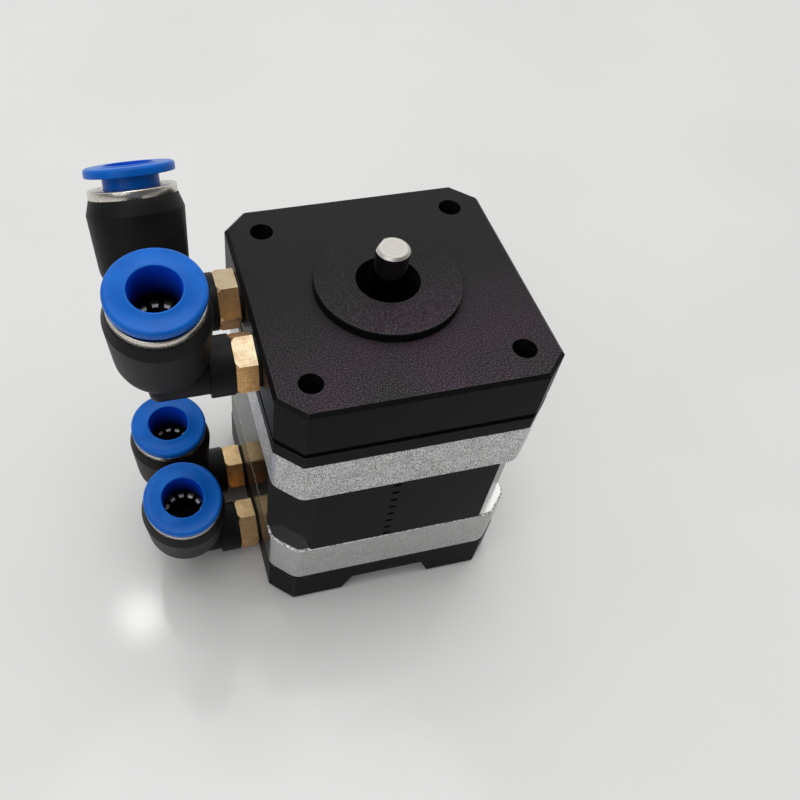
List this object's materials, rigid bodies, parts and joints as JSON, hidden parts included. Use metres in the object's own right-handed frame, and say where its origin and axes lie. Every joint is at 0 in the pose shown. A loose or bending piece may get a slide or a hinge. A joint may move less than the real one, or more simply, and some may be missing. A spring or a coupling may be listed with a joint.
{
  "type": "stepper motor",
  "caption": "Square hybrid stepper motor with black water-cooling blocks on its front and rear, and swivelling push-in elbow fittings for coolant tubes on one side.",
  "frame": {"origin": "centre of the front mounting face, on the shaft axis", "axes": "+Z outward along the shaft, +X away from the side with the tube elbows, +Y completing a right-handed frame, towards the lead connector"},
  "size_m": [0.0621, 0.046, 0.0711],
  "materials": {
    "anodised": "bead-blasted and anodised black",
    "gasket_rubber": "matt black",
    "cast_silver": "cast and bead-blasted",
    "lamination": "stacked sheets coated smooth black",
    "white_plastic": "moulded off-white",
    "copper": null,
    "bearing_steel": "ground and polished",
    "screw_steel": "plated",
    "shaft_steel": "ground, with a turned end face",
    "rotor_iron": "stamped sheets, bare",
    "magnet": "sintered, bare",
    "brass": "turned, bare",
    "black_plastic": "moulded with a soft sheen",
    "nickel": "nickel-plated brass",
    "collet_blue": "moulded satin blue",
    "seal_rubber": "moulded nitrile",
    "claw_steel": "stamped stainless"
  },
  "bodies": {
    "motor_frame": {"front_cooling_block": "anodised", "front_channel_gasket": "gasket_rubber", "front_cover_plate": "anodised", "front_bell": "cast_silver", "stator_stack": "lamination", "front_bobbin": "white_plastic", "rear_bobbin": "white_plastic", "phase_a_coils": "copper", "phase_b_coils": "copper", "rear_bell": "cast_silver", "rear_channel_gasket": "gasket_rubber", "rear_cooling_block": "anodised", "front_bearing_outer_ring": "bearing_steel", "front_bearing_balls": "bearing_steel", "rear_bearing_outer_ring": "bearing_steel", "rear_bearing_balls": "bearing_steel", "wave_washer": "bearing_steel", "body_screws": "screw_steel", "connector_socket": "white_plastic", "connector_pins": "brass", "port_seal_washers": "gasket_rubber", "front_inlet_stud": "brass", "front_inlet_swivel_seal": "seal_rubber", "front_outlet_stud": "brass", "front_outlet_swivel_seal": "seal_rubber", "rear_inlet_stud": "brass", "rear_inlet_swivel_seal": "seal_rubber", "rear_outlet_stud": "brass", "rear_outlet_swivel_seal": "seal_rubber"},
    "rotor": {"motor_shaft": "shaft_steel", "rotor_magnet": "magnet", "front_rotor_cup": "rotor_iron", "rear_rotor_cup": "rotor_iron", "front_spacer": "brass", "rear_spacer": "brass", "front_bearing_inner_ring": "bearing_steel", "rear_bearing_inner_ring": "bearing_steel"},
    "front_inlet_elbow_body": {"front_inlet_elbow": "black_plastic", "front_inlet_ring": "nickel", "front_inlet_tube_seal": "seal_rubber", "front_inlet_claw": "claw_steel"},
    "front_inlet_collet_body": {"front_inlet_collet": "collet_blue"},
    "front_outlet_elbow_body": {"front_outlet_elbow": "black_plastic", "front_outlet_ring": "nickel", "front_outlet_tube_seal": "seal_rubber", "front_outlet_claw": "claw_steel"},
    "front_outlet_collet_body": {"front_outlet_collet": "collet_blue"},
    "rear_inlet_elbow_body": {"rear_inlet_elbow": "black_plastic", "rear_inlet_ring": "nickel", "rear_inlet_tube_seal": "seal_rubber", "rear_inlet_claw": "claw_steel"},
    "rear_inlet_collet_body": {"rear_inlet_collet": "collet_blue"},
    "rear_outlet_elbow_body": {"rear_outlet_elbow": "black_plastic", "rear_outlet_ring": "nickel", "rear_outlet_tube_seal": "seal_rubber", "rear_outlet_claw": "claw_steel"},
    "rear_outlet_collet_body": {"rear_outlet_collet": "collet_blue"}
  },
  "joints": [
    {"name": "rotor_spin", "type": "hinge", "parent": "motor_frame", "child": "rotor", "pos_m": [0, 0, 0], "axis": [0, 0, 1], "continuous": true},
    {"name": "front_inlet_swivel", "type": "hinge", "parent": "motor_frame", "child": "front_inlet_elbow_body", "pos_m": [-0.0341, -0.00635, -0.0042], "axis": [1, 0, 0], "range_deg": [-10, 90]},
    {"name": "front_inlet_release", "type": "slide", "parent": "front_inlet_elbow_body", "child": "front_inlet_collet_body", "axis": [0, 0.1736, -0.9848], "range_m": [-0.001, 0.0008]},
    {"name": "front_outlet_swivel", "type": "hinge", "parent": "motor_frame", "child": "front_outlet_elbow_body", "pos_m": [-0.0341, 0.00635, -0.0042], "axis": [1, 0, 0], "range_deg": [-66, 10]},
    {"name": "front_outlet_release", "type": "slide", "parent": "front_outlet_elbow_body", "child": "front_outlet_collet_body", "axis": [0, -0.5299, -0.848], "range_m": [-0.0002, 0.0016]},
    {"name": "rear_inlet_swivel", "type": "hinge", "parent": "motor_frame", "child": "rear_inlet_elbow_body", "pos_m": [-0.0341, -0.00635, -0.0497], "axis": [1, 0, 0], "range_deg": [0, 58]},
    {"name": "rear_inlet_release", "type": "slide", "parent": "rear_inlet_elbow_body", "child": "rear_inlet_collet_body", "axis": [0, 0.2079, -0.9781], "range_m": [-0.0014, 0.0004]},
    {"name": "rear_outlet_swivel", "type": "hinge", "parent": "motor_frame", "child": "rear_outlet_elbow_body", "pos_m": [-0.0341, 0.00635, -0.0497], "axis": [1, 0, 0], "range_deg": [-74, 0]},
    {"name": "rear_outlet_release", "type": "slide", "parent": "rear_outlet_elbow_body", "child": "rear_outlet_collet_body", "axis": [0, 0.0698, -0.9976], "range_m": [-0.0018, 0]}
  ]
}
